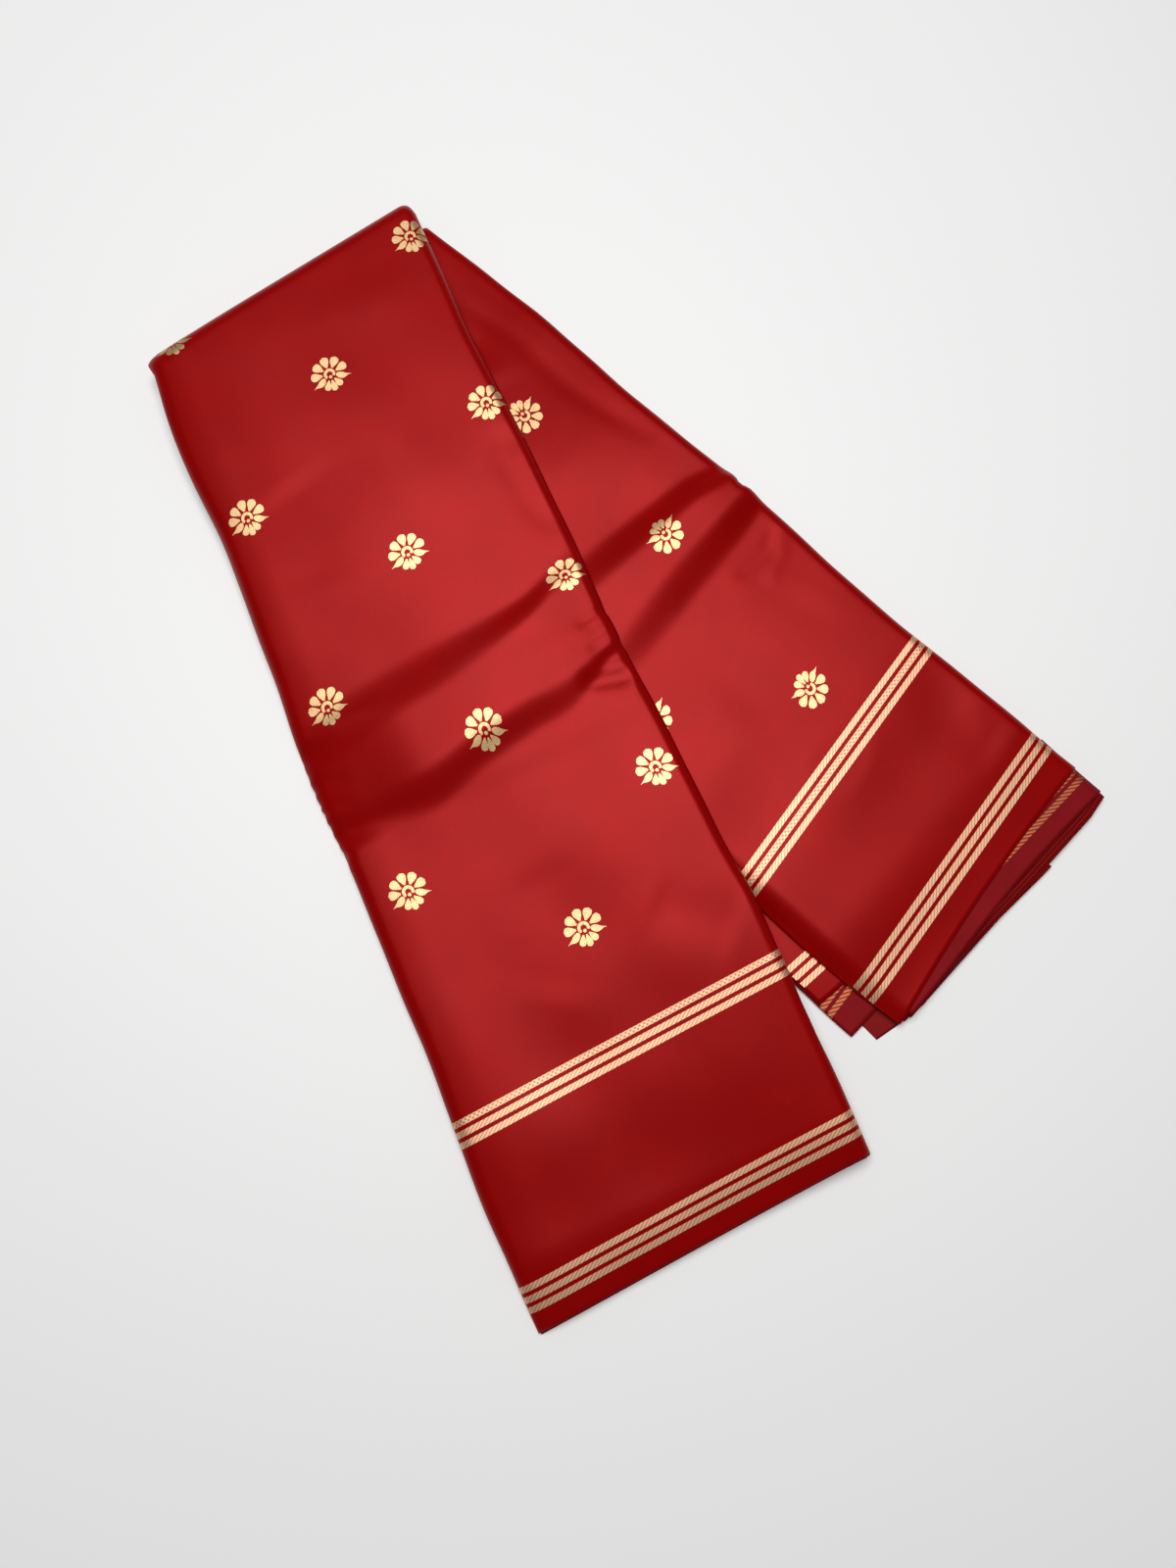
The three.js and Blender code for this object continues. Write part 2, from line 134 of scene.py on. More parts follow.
TOP_EDGES = {
    "along": [5, 60, 92, 131, 168, 205, 241, 267, 293, 345, 388, 420, 446, 505, 570],
    "left": [-85, -88.3, -87.7, -86.2, -87.6, -89.2, -91, -91.8,
             -91.2, -89.7, -89.9, -90.1, -90.5, -92.3, -90.5],
    "right": [84, 84.8, 84.4, 86.6, 88.3, 88.4, 88.2, 89.6, 90.8, 92.8, 94.8, 96.4, 96.2, 96.3, 96.3],
}
UNDER_EDGES = {
    "along": [5, 60, 135, 215, 275, 330, 400, 470, 505, 525],
    "left": [-79, -77, -77, -77, -77, -78, -81.5, -80.5, -77.5, -76],
    "right": [84, 87.4, 88, 86.8, 89, 86, 86, 87.5, 88.5, 89],
    "spread": [-87.5, -80, -84, -87, -90, -92, -94.5, -96.5, -91.4, -91.2],
}
# The deep crease that runs across the leg is a ridge between two flanks: the place along the
# leg of the middle of each flank, its width, and the ridge's height, from left to right.
TOP_CREASE = {
    "across": [-92, -60, -30, 0, 30, 55, 66, 74, 82, 92],
    "near": [256, 247, 242, 238, 234, 228, 223, 220, 217, 212],
    "near_width": [24, 30, 31, 28, 22, 16, 16, 18, 22, 26],
    "far": [300, 300, 297, 289, 284, 281, 276.5, 271.5, 268, 266],
    "far_width": [31, 29, 25, 23, 22, 19, 14, 9, 7, 6],
    "height": [4.8, 5.5, 5.8, 5.6, 5.0, 3.9, 3.0, 2.5, 2.3, 2.0],
}
SAG = {"along": 262.0, "reach": 80.0, "depth": 2.4}  # of the cloth to either side of the ridge
# At its left end the ridge leans out and drops to the leg's edge: where, over what and how far.
LEFT_DIP = {"near": 250.0, "far": 306.0, "reach": 14.0, "across": -34.0, "width": 56.0, "drop": 6.0}
HINGE_SOFT, HINGE_LEVEL = 0.03, 0.17  # round the dip's corner, and keep its right side level
HANG_FROM = 66  # how far out to the left a leg's margin starts to hang
SQUARE_BY = 230  # where rows that start along the fold's line have turned square to the leg
TOP_SOFT_CREASES = [
    # points (along, across) that it runs through, half width, height
    ([(128, 80), (150, 72), (176, 75), (204, 84)], 8, -0.7),
    ([(110, -42), (142, -36), (178, -42)], 21, -0.6),
    ([(352, -2), (392, 2), (426, -20)], 20, -0.5),
    ([(396, 44), (414, 66), (428, 84)], 15, -0.7),
    ([(278, 58), (283.5, 74), (286, 88)], 4.6, -1.3),
    ([(248, 97), (247.3, 84), (251, 68)], 2.2, -0.6),
    ([(253.5, 97), (253, 85.5), (257, 72)], 1.9, -0.5),
    ([(261, 98), (261, 86), (266, 68)], 2.4, -0.7),
    ([(276, 98), (274.5, 86), (272, 73)], 2.2, -0.7),
    ([(268, -96), (271, -84), (274, -70)], 2.4, -0.4),
    ([(281, -98), (284, -86), (287, -72)], 2.4, -0.4),
    ([(293, -98), (296, -86), (298, -74)], 2.4, -0.4),
]


def smooth(x):
    """Rises from 0 to 1 with no kink at either end."""
    x = np.clip(x, 0.0, 1.0)
    return x * x * (3 - 2 * x)


def ramp(x, start, width):
    """0 up to a starting place, and 1 from a width beyond it."""
    return smooth((x - start) / width)


def hump(x, middle, width):
    """1 at the middle, and next to nothing two widths to either side."""
    return np.exp(-((x - middle) / width) ** 2)


def mix(a, b, share):
    return a + (b - a) * share


def curve(table, column, place):
    """A smooth line through a column of a table, read at a place in the table's first column."""
    x, y = np.array(next(iter(table.values())), float), np.array(table[column], float)
    slopes = np.gradient(y, x)
    place = np.clip(place, x[0], x[-1])
    i = np.clip(np.searchsorted(x, place) - 1, 0, len(x) - 2)
    width = x[i + 1] - x[i]
    k = (place - x[i]) / width
    held = y[i] * (1 + 2 * k) * (1 - k) ** 2 + y[i + 1] * k * k * (3 - 2 * k)
    return held + width * (slopes[i] * k * (1 - k) ** 2 - slopes[i + 1] * k * k * (1 - k))


def to_plan(heading, s, t):
    """Along and across a leg, to X and Y."""
    turn = radians(heading)
    x = FOLD_MIDPOINT[0] + cos(turn) * s - sin(turn) * t
    return x, FOLD_MIDPOINT[1] + sin(turn) * s + cos(turn) * t


def from_plan(heading, x, y):
    """X and Y, to along and across a leg."""
    turn = radians(heading)
    dx, dy = x - FOLD_MIDPOINT[0], y - FOLD_MIDPOINT[1]
    return cos(turn) * dx + sin(turn) * dy, cos(turn) * dy - sin(turn) * dx


def crease_ridge(crease, s, t):
    """A ridge across a leg that rises over its near flank and falls over its far one."""
    near = (s - curve(crease, "near", t)) / curve(crease, "near_width", t) + 0.5
    far = (s - curve(crease, "far", t)) / curve(crease, "far_width", t) + 0.5
    return curve(crease, "height", t) * smooth(near) * (1 - smooth(far))


def soft_crease(s, t, through, width, height):
    """A trough or ridge along a line of points, that fades at both of its ends."""
    nearest = np.full(np.broadcast(s, t).shape, 1e9)
    share = np.zeros_like(nearest)
    for i, ((s0, t0), (s1, t1)) in enumerate(zip(through, through[1:])):
        ds, dt = s1 - s0, t1 - t0
        k = np.clip(((s - s0) * ds + (t - t0) * dt) / (ds * ds + dt * dt), 0, 1)
        away = np.hypot(s - s0 - k * ds, t - t0 - k * dt)
        share = np.where(away < nearest, (i + k) / (len(through) - 1), share)
        nearest = np.minimum(nearest, away)
    fade = smooth(share / 0.2) * smooth((1 - share) / 0.2)
    return height * fade * np.exp(-(nearest / width) ** 2)


def slack(s, t, seed):
    """The slight, uneven waviness of soft cloth that lies flat."""
    WAVES, HEIGHT = 9, 0.09
    made = np.random.default_rng(seed)
    total = 0.0
    for _ in range(WAVES):
        direction, length, start = made.uniform(0, pi), made.uniform(45, 120), made.uniform(0, 6.3)
        along = s * cos(direction) + t * sin(direction)
        total = total + HEIGHT * np.sin(along * 2 * pi / length + start)
    return total


def descent(x, y, start, width):
    """How far the top leg has come down to the table, beyond the under leg's edge."""
    s, t = from_plan(UNDER_HEADING, x, y)
    return ramp(curve(UNDER_EDGES, "spread", s) - t, start, width)


class TopLeg:
    heading, edges, shelf = TOP_HEADING, TOP_EDGES, 0.0
    roll = {"left": 7.5, "right": 6.4}  # how far in from each long edge the cloth starts to round down
    selvage = {"across": [-92, 97], "end": [570.5, 558.0]}
    askew = radians(FOLD_HEADING - TOP_HEADING - 90)
    # Where a crease nips a long edge in: side, place along, half width, depth.
    nips = [(-1, 311, 3.5, 1.1), (1, 247, 3, 0.9), (1, 267, 3, 0.9)]

    @staticmethod
    def floor(x, y):
        """Height of what the leg lies on: the under leg, and beyond it the table."""
        return TOP_BASE * (1 - descent(x, y, start=8, width=60))

    @staticmethod
    def crown(s, t):
        """Height of the outer face. The pile thins along its last quarter and at the selvage."""
        x, y = to_plan(TOP_HEADING, s, t)
        pile = TOP_HEIGHT - 0.8 * ramp(s, 430, 110) - 6.6 * ramp(s, 530, 52)
        made = TOP_BASE * (1 - descent(x, y, start=-60, width=190)) + pile
        made = made + crease_ridge(TOP_CREASE, s, t)
        made = made - SAG["depth"] * hump(s, SAG["along"], SAG["reach"])
        out = (LEFT_DIP["across"] - t) / LEFT_DIP["width"]
        inside = smooth((s - LEFT_DIP["near"]) / LEFT_DIP["reach"] + 0.5)
        inside = inside * (1 - smooth((s - LEFT_DIP["far"]) / LEFT_DIP["reach"] + 0.5))
        hinge = np.sqrt(out ** 2 + HINGE_SOFT) + out - HINGE_LEVEL
        made = made - LEFT_DIP["drop"] * hinge / 2 * inside
        made = made - 0.0033 * np.maximum(-t - HANG_FROM, 0) ** 2
        made = made + sum(soft_crease(s, t, *crease) for crease in TOP_SOFT_CREASES)
        return made + slack(s, t, 3) * ramp(s, 12, 30)

    @staticmethod
    def lean(station, t):
        """How far along a row's points move, so that it starts on the fold's line and ends askew."""
        made = tan(TopLeg.askew) * -t * (1 - smooth(station / SQUARE_BY))
        return made - 0.068 * t * ramp(station, 380, 170)

    @staticmethod
    def woven_along(s, t):
        """Place along the flat cloth: askew by a few threads, with some taken up in the creases."""
        taken = 6.5 * hump(s, 256, 42) * ramp(t, -70, 60)
        slant = 0.0435 + 0.0265 * ramp(s, 330, 110) - 0.029 * (1 - smooth(s / 70))
        given = 3.0 * hump(s, 240, 40) * ramp(-t, 30, 40)
        return s + slant * t + taken - given

    @staticmethod
    def woven_across(s, t):
        return -(t - 6.2 * ramp(s, 300, 110))


LEG_STEP = 2.5  # between points of a leg, along and across
# At each long edge a row of points goes down the rounded edge and then down the rim below it.
EDGE_RIM = np.array([1.0, 0.7, 0.4, 0.15] + [0.0] * 9)
EDGE_ANGLE = np.radians([0, 0, 0, 0, 0, 11, 22, 33, 44, 54, 64, 73, 82])
EDGE_NODES = len(EDGE_RIM)


def section_nodes(flat_width):
    """A row across a leg: up from the left rim, over the flat and down to the right rim."""
    share = np.linspace(0, 1, int(flat_width / LEG_STEP))
    none = np.zeros(EDGE_NODES)
    side = np.concatenate([none - 1, 0 * share, none + 1])
    rim = np.concatenate([EDGE_RIM, 0 * share, EDGE_RIM[::-1]])
    angle = np.concatenate([EDGE_ANGLE, 0 * share + pi / 2, EDGE_ANGLE[::-1]])
    flat = np.concatenate([none, share, none])
    return side[None], rim[None], angle[None], flat[None]


RIM_TUCK = 1.1  # how far the outer cloth's rim is drawn in below the rounded edge


def edge_ripple(leg, station, side):
    """The long edges are a little uneven, most of all where the creases reach them."""
    ripple = 0.35 * np.sin(station / 17.0 + side * 1.3) + 0.15 * np.sin(station / 8.3 + side * 2.1)
    if leg is TopLeg:
        # Small pleats, about 7.6 mm apart, where the crease is pinched at the left edge.
        pinched = hump(station, 282, 22) * (side < 0)
        ripple = ripple + pinched * 0.45 * np.sin(station * 2 * pi / 7.6 + 0.8 * np.sin(station / 5))
    for where, along, width, depth in leg.nips:
        ripple = ripple - depth * hump(station, along, width) * (side == where)
    return ripple


def leg_points(leg, stations, nodes):
    """The outer face of a leg as rows of points, with the place of each on the flat cloth."""
    side, rim, angle, flat = nodes
    station = np.array(stations, float)[:, None]
    left = curve(leg.edges, "left", station) - edge_ripple(leg, station, -1)
    right = curve(leg.edges, "right", station) + edge_ripple(leg, station, 1)
    roll = np.where(side < 0, leg.roll["left"], leg.roll["right"])
    inset = roll * (1 - np.cos(angle)) + RIM_TUCK * rim ** 2
    middle = mix(left + leg.roll["left"], right - leg.roll["right"], flat)
    t = np.where(side < 0, left + inset, np.where(side > 0, right - inset, middle))
    s = station + leg.lean(station, t)
    x, y = to_plan(leg.heading, s, t)
    crown = leg.crown(s, t)
    floor = np.where(side < 0, np.maximum(leg.floor(x, y), leg.shelf), leg.floor(x, y))
    shoulder = mix(floor, crown, SHOULDER)
    z = mix(shoulder, crown, np.sin(angle))
    z = mix(z, mix(floor, shoulder, RIM), rim)
    points = np.stack(np.broadcast_arrays(x, y, z), -1)
    # Over a rounded edge the cloth's own width is the way round the edge.
    steps = np.linalg.norm(np.diff(np.stack([t, z], -1), axis=1), axis=2)
    way = np.concatenate([np.zeros((len(t), 1)), np.cumsum(steps, 1)], 1)
    first, last = EDGE_NODES, t.shape[1] - EDGE_NODES - 1
    across = t.copy()
    across[:, :first] = t[:, [first]] + way[:, :first] - way[:, [first]]
    across[:, last:] = t[:, [last]] + way[:, last:] - way[:, [last]]
    woven = np.stack([leg.woven_across(s, across), leg.woven_along(s, np.clip(across, left, right))], -1)
    return points, woven


def fold_points(leg_row, woven_row, nodes):
    """The cloth that turns over the fold, from the table round the nose to the leg's first row."""
    _, rim, angle, _ = nodes
    start = (leg_row[:, :2] - FOLD_MIDPOINT) @ FOLD_LINE
    start_out = (leg_row[:, :2] - FOLD_MIDPOINT) @ FOLD_OUT
    height = leg_row[:, 2] - NOSE_HEIGHT
    # The nose draws in a little where the long edges come round it.
    rounding = np.sin(angle[0]) * (1 - rim[0])
    bulge = mix(0.80, 1.0, rounding) - 0.06 * rim[0]
    rows = []
    for turn in range(-90, 90, 6):
        rise = height if turn > 0 else mix(height, NOSE_HEIGHT, smooth(-turn / 40) * rounding)
        reach = NOSE_DEPTH * cos(radians(turn)) * bulge
        plan = FOLD_MIDPOINT + start[:, None] * FOLD_LINE + (start_out + reach)[:, None] * FOLD_OUT
        rows.append(np.column_stack([plan, NOSE_HEIGHT + rise * sin(radians(turn))]))
    for back in (3, 4, 5):
        plan = rows[0][:, :2] - back * FOLD_OUT
        rows.insert(0, np.column_stack([plan, rows[0][:, 2]]))
    points = np.array(rows)
    whole = np.concatenate([points, leg_row[None]])
    steps = np.linalg.norm(np.diff(whole, axis=0), axis=2)
    back = np.cumsum(steps[::-1], axis=0)[::-1]
    woven = np.repeat(woven_row[None], len(points), 0)
    woven[:, :, 1] -= back
    return points, woven


def grid_faces(rows, columns, start=0, flip=False):
    """The faces of a grid of points, row by row."""
    corners = [start + i * columns + j for i in range(rows - 1) for j in range(columns - 1)]
    quads = [(a, a + 1, a + columns + 1, a + columns) for a in corners]
    return [quad[::-1] for quad in quads] if flip else quads


def slab_faces(rows, columns, start=0, flip=False):
    """The faces of a closed slab: one grid of points, a second one after it, and the rim."""
    count = rows * columns
    index = start + np.arange(count).reshape(rows, columns)
    rim = np.concatenate([index[0], index[1:, -1], index[-1, -2::-1], index[-2:0:-1, 0]]).tolist()
    made = grid_faces(rows, columns, start, not flip) + grid_faces(rows, columns, start + count, flip)
    for a, b in zip(rim, rim[1:] + rim[:1]):
        made.append((b, a, a + count, b + count) if flip else (a, b, b + count, a + count))
    return made


def mesh_object(name, points, faces, woven=None, material=None):
    """A shaded-smooth mesh from points in millimetres, with its flat-cloth map in metres."""
    mesh = bpy.data.meshes.new(name)
    mesh.from_pydata((np.asarray(points) * MM).tolist(), [], faces)
    if woven is not None:
        flat_map = mesh.uv_layers.new(name="cloth")
        corners = np.zeros(len(mesh.loops), int)
        mesh.loops.foreach_get("vertex_index", corners)
        flat_map.data.foreach_set("uv", (np.asarray(woven) * MM)[corners].ravel())
    mesh.shade_smooth()
    if material is not None:
        mesh.materials.append(material)
    return new_object(name, mesh)


def outward(grid):
    """The unit normal at each point of a grid whose rows run along and columns across."""
    normal = np.cross(np.gradient(grid, axis=0), np.gradient(grid, axis=1))
    return normal / np.linalg.norm(normal, axis=2, keepdims=True)


def cloth_object(name, grid, woven, material):
    """A thin closed sheet whose outer face is the grid, and that bare face, for what lies on it."""
    rows, columns = grid.shape[:2]
    outer, flat = grid.reshape(-1, 3), woven.reshape(-1, 2)
    inner = (grid - outward(grid) * CLOTH).reshape(-1, 3)
    sheet = mesh_object(name, np.concatenate([outer, inner]), slab_faces(rows, columns),
                        np.concatenate([flat, flat]), material)
    face = mesh_object(name + "_face", outer, grid_faces(rows, columns, flip=True), flat)
    face.hide_render = True
    return sheet, face


def silk(name, colour, deep, roughness, sheen):
    """Satin-weave silk. Smooth floats of warp give it a broad, soft shine with a faint grain.

    The threads are about 0.1 mm; they are drawn 0.9 mm wide here, the finest that shows.
    """
    THREAD, FLOAT, CLOUD = 0.0009, 0.006, 0.030  # metres; the clouds are broad and faint
    made, tree, shader = new_material(name, **{
        "Metallic": 0.20, "Roughness": roughness, "IOR": 1.2, "Sheen Weight": sheen,
        "Sheen Roughness": 0.4, "Sheen Tint": linear("c02020"),
    })
    place = add(tree, "ShaderNodeUVMap", uv_map="cloth")
    scaled = add(tree, "ShaderNodeVectorMath", {0: place, 1: (1 / THREAD, 1 / FLOAT, 1.0)},
                 operation="MULTIPLY")
    grain = add(tree, "ShaderNodeTexNoise", {"Vector": scaled, "Scale": 1.0, "Detail": 2.0}).outputs["Fac"]
    clouds = add(tree, "ShaderNodeTexNoise", {"Vector": place, "Scale": 1 / CLOUD, "Detail": 3.0})
    faint = add(tree, "ShaderNodeMath", {0: grain, 1: 0.30}, operation="MULTIPLY")
    both = add(tree, "ShaderNodeMath", {0: clouds.outputs["Fac"], 1: 0.70, 2: faint},
               operation="MULTIPLY_ADD")
    spread = add(tree, "ShaderNodeMapRange", {"Value": both, "From Min": 0.3, "From Max": 0.7})
    tint = add(tree, "ShaderNodeMix", {"Factor": spread, "A": linear(deep), "B": linear(colour)},
               data_type="RGBA")
    tree.links.new(tint.outputs["Result"], shader.inputs["Base Color"])
    bump = add(tree, "ShaderNodeBump", {"Strength": 0.10, "Distance": 0.00012, "Height": grain})
    tree.links.new(bump.outputs[0], shader.inputs["Normal"])
    return made


satin = silk("red_satin_silk", "980000", "8e0000", roughness=0.34, sheen=0.0)

top_nodes = section_nodes(flat_width=155)
turn_end = (NOSE_DEPTH - FOLD_REACH) / cos(TopLeg.askew)
top_stations = np.linspace(turn_end + 0.4, TOP_LENGTH, int(TOP_LENGTH / LEG_STEP))
top_grid, top_woven = leg_points(TopLeg, top_stations, top_nodes)
nose_grid, nose_woven = fold_points(top_grid[0], top_woven[0], top_nodes)
top_grid = np.concatenate([nose_grid, top_grid])
top_woven = np.concatenate([nose_woven, top_woven])
top_sheet, top_face = cloth_object("top_sheet", top_grid, top_woven, satin)
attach(top_sheet, "root")
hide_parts("top_panel", "fold_turn")


# ---------------- the under leg's outer cloth
# The same length of silk where it comes out from beneath the top leg, its right side up,
# with one crease pulled in from its right edge. It ends in the cloth's selvage.
UNDER_CREASE = {
    "across": [-90, -20, 0, 20, 45, 65, 88],
    "near": [240, 240, 241, 243, 246, 249, 257],
    "near_width": [24, 24, 24, 23, 21, 19, 15],
    "far": [286, 285, 283, 281, 280, 279, 277],
    "far_width": [24, 25, 26, 25, 23, 20, 15],
    "height": [0, 4.2, 5.1, 5.7, 6.1, 6.1, 5.4],
}
UNDER_SOFT_CREASES = [
    # points (along, across) that it runs through, half width, height
    ([(44, 74), (78, 62), (120, 67), (153, 65), (180, 68), (236, 78)], 6, -0.35),
    ([(4, 66), (60, 46), (116, 26)], 17, -3.3),
    ([(120, 40), (150, 30), (190, 46)], 18, -0.4),
    ([(296, 86), (302, 66), (300, 40)], 4, -0.4),
    ([(292, 86), (308, 72), (316, 50)], 4, 0.3),
    ([(340, 70), (352, 30), (350, -20)], 20, -0.4),
    ([(392, 88), (436, 62), (470, 66)], 16, -0.6),
]
UNDER_LENGTH, UNDER_HEIGHT = 507.4, 12.0
LEDGE, GAP, WALL = 1.2, 0.3, 1.2  # of the layers spread out at the left, below this cloth
PANEL_DEPTH = 1.5  # from the cloth's face down to the first hidden layer
SHELF = LEDGE + 2 * PANEL_DEPTH + GAP


class UnderLeg:
    heading, edges, shelf = UNDER_HEADING, UNDER_EDGES, SHELF
    roll = {"left": 13.0, "right": 6.5}
    selvage = {"across": [-92, -82, -75, -46, 12, 50, 80, 88],
               "end": [516, 516, 520, 521, 523.5, 524.5, 524.5, 523.2]}
    askew = radians(FOLD_HEADING - UNDER_HEADING - 90)
    nips = [(1, 266, 4, 1.8)]

    @staticmethod
    def floor(x, y):
        return np.zeros_like(x + y)

    @staticmethod
    def crown(s, t):
        """It thins to its end, sags at its crease, and is low at the right by the fold."""
        made = UNDER_HEIGHT - 2.6 * ramp(s, 460, 56) + crease_ridge(UNDER_CREASE, s, t)
        made = made - 2.0 * hump(s, 262, 70)
        made = made - 5.0 * ramp(t, 5, 84) * (1 - ramp(s, 90, 150))
        made = made - 0.02 * np.clip(-t - HANG_FROM, 0, 13) ** 2 * ramp(s, 370, 50)
        made = made + sum(soft_crease(s, t, *crease) for crease in UNDER_SOFT_CREASES)
        return made + np.minimum(slack(s, t, 11), 0.3) * ramp(s, 60, 60)

    @staticmethod
    def lean(station, t):
        made = tan(UnderLeg.askew) * -t * (1 - smooth(station / SQUARE_BY))
        return made + (0.000487 * t * t - 0.1116 * t) * ramp(station, 380, 120)

    @staticmethod
    def woven_along(s, t):
        taken = 5.5 * hump(s, 262, 38) * ramp(t, -20, 40) + 2.0 * ramp(s, 290, 50)
        return s + (0.056 + 0.044 * ramp(s, 330, 70)) * t + taken

    @staticmethod
    def woven_across(s, t):
        return -(t + 1.6 * smooth(-t / 30) + 12.0 * ramp(s, 240, 150))


under_start = (NOSE_DEPTH - FOLD_REACH) / cos(UnderLeg.askew) + 2.0
under_stations = np.linspace(under_start, UNDER_LENGTH, int(UNDER_LENGTH / LEG_STEP))
under_grid, under_woven = leg_points(UnderLeg, under_stations, section_nodes(flat_width=145))
under_sheet, under_face = cloth_object("under_sheet", under_grid, under_woven, satin)
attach(under_sheet, "root")
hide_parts("under_panel")


# ---------------- leaves that stick out of the pile
# Deeper layers that reach past the outer cloth: one at the under leg's end and two low on its
# left. Two lie wrong side up, where the satin is duller and more purple, as its weft shows.
wrong_side = silk("satin_wrong_side", "8a0e15", "7c0a11", roughness=0.6, sheen=0.03)


def leaf(name, rows, columns, place, material, node):
    """A thin sheet from a function that gives a point and its place on the flat cloth."""
    made = [[place(i / (rows - 1), j / (columns - 1)) for j in range(columns)] for i in range(rows)]
    grid = np.array([[point for point, _ in row] for row in made], float)
    woven = np.array([[flat for _, flat in row] for row in made], float)
    sheet, face = cloth_object(name, grid, woven, material)
    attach(sheet, "root")
    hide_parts(node)
    return sheet, face, woven


END_LEAF = {"across": [-78, -46, 6, 50, 88], "end": [520.0, 519.6, 516.9, 517.2, 519.3]}
END_LEAF_SIDES, END_LEAF_DEPTH = (-70.0, 87.0), 41.0  # across, and how far in it goes
END_LEAF_BELOW = 0.95  # the outer cloth's face


def end_leaf_place(k, j):
    """The leaf at the end waves a little at its free edge and turns down at its right corner."""
    t = mix(*END_LEAF_SIDES, j)
    end = curve(END_LEAF, "end", t)
    s = mix(end - END_LEAF_DEPTH, end, k)
    x, y = to_plan(UNDER_HEADING, s, t)
    corner = ramp(t, 81, 9)
    wave = 0.12 * sin(t / 13 + 0.8) * k ** 3
    z = UnderLeg.crown(s, t) - END_LEAF_BELOW + wave - 3.4 * corner ** 2
    return (x, y, z), (-t, s - 0.046 * t)


end_cloth, end_face, end_woven = leaf(
    "end_leaf_cloth", 22, 60, end_leaf_place, wrong_side, "end_leaf")

LEAF_TUCK = 5.0  # how far the low leaves go in under the leg's left edge


def spread_leaf_place(start, end, outer, corner, height, slant):
    """A low leaf whose left edge lies at `outer`, with its far corner drawn back a little."""
    def place(k, j):
        s = mix(start, end, k)
        inner = curve(UNDER_EDGES, "left", s) + LEAF_TUCK
        t = mix(outer + 0.3 * sin(s / 9), inner, j)
        s = s - corner * (1 - j) ** 1.5 * k
        x, y = to_plan(UNDER_HEADING, s, t)
        droop = 0.5 * (1 - j) ** 3
        wave = 0.3 * sin(s / 11) * (1 - j)
        return (x, y, height + WALL - droop - wave), (-t, s + slant * t)
    return place


low_right_cloth, low_right_face, low_right_woven = leaf(
    "low_right_side_cloth", 30, 12,
    spread_leaf_place(404, 485, outer=-97, corner=2.5, height=LEDGE + 2 * GAP + WALL, slant=-0.115),
    satin, "lower_leaf_right_side")
low_wrong_cloth, low_wrong_face, low_wrong_woven = leaf(
    "low_wrong_side_cloth", 40, 14,
    spread_leaf_place(404, 506, outer=-98.3, corner=0.6, height=LEDGE + GAP, slant=0.08),
    wrong_side, "lower_leaf_wrong_side")


# ---------------- the hidden layers
# The rest of the saree's length, folded to and fro below the outer cloth. Only its stacked
# rounded edges show down the sides, and its selvages, a little out of step, at the ends.
LAYERS = 11
LAYER_ROUND, LAYER_FILL = 0.5, 0.94  # how far a layer's edge is rounded in, and how much of its room it fills
END_BLEND = 45  # the length over which a layer turns to end along the selvage
OPEN_BELOW = 0.30  # up to this share of the pile's height the layers' edges show
COVERED_INSET = 1.9  # of the edges above, behind the outer cloth's rounded edge
layer_silk = silk("folded_silk_edges", "8a0c0d", "76080a", roughness=0.48, sheen=0.03)


def folded_layer(leg, k, stations, left_inset, right_inset, end_shift):
    """One flat layer of the pile as a ring of points at each station, rounded at both edges."""
    station = np.array(stations, float)[:, None]
    last = station.max()
    at_end = ramp(station, last - END_BLEND, END_BLEND)
    level = np.linspace(0.08, 0.92, 7)[None, :]
    left = curve(leg.edges, "left", station) + left_inset(station)
    right = curve(leg.edges, "right", station) - right_inset(station)

    def face(share, angle, side):
        """Points at an angle round the layer, from -90 degrees below to 90 above."""
        inset = LAYER_ROUND * (1 - np.cos(angle))
        middle = mix(left + LAYER_ROUND, right - LAYER_ROUND, share)
        t = {-1: left + inset, 0: middle, 1: right - inset}[side]
        end = curve(leg.selvage, "end", t) + end_shift(t)
        s = station + mix(leg.lean(station, t), end - last, at_end)
        x, y = to_plan(leg.heading, s, t)
        floor, crown = leg.floor(x, y), leg.crown(s, t) - PANEL_DEPTH
        height = mix(floor, crown, (k + 0.5) / LAYERS)
        half_thickness = np.maximum((crown - floor) / LAYERS / 2 * LAYER_FILL, 0.15)
        return np.stack(np.broadcast_arrays(x, y, height + half_thickness * np.sin(angle)), -1)

    turn = np.radians([-90, -45, 0, 45, 90])[None, :]
    up = np.full_like(level, pi / 2)
    ring = [face(0, turn, -1), face(level, up, 0), face(0, turn[:, ::-1], 1), face(level[:, ::-1], -up, 0)]
    return np.concatenate(ring, 1)


def ring_faces(rows, count, start):
    """Faces of a closed tube of rings, with flat ends."""
    made = []
    for i in range(rows - 1):
        for j in range(count):
            a, b = start + i * count + j, start + i * count + (j + 1) % count
            made.append((a, b, b + count, a + count))
    made.append(tuple(start + j for j in range(count))[::-1])
    made.append(tuple(start + (rows - 1) * count + j for j in range(count)))
    return made


def ring_stack(name, tubes, woven):
    """Closed bodies in one mesh, from rings of points and their places on the flat cloth."""
    faces, start = [], 0
    for rings in tubes:
        rows, count = rings.shape[:2]
        faces += ring_faces(rows, count, start)
        start += rows * count
    points = np.concatenate([rings.reshape(-1, 3) for rings in tubes])
    flat = np.concatenate([places.reshape(-1, 2) for places in woven])
    return mesh_object(name, points, faces, flat, layer_silk)


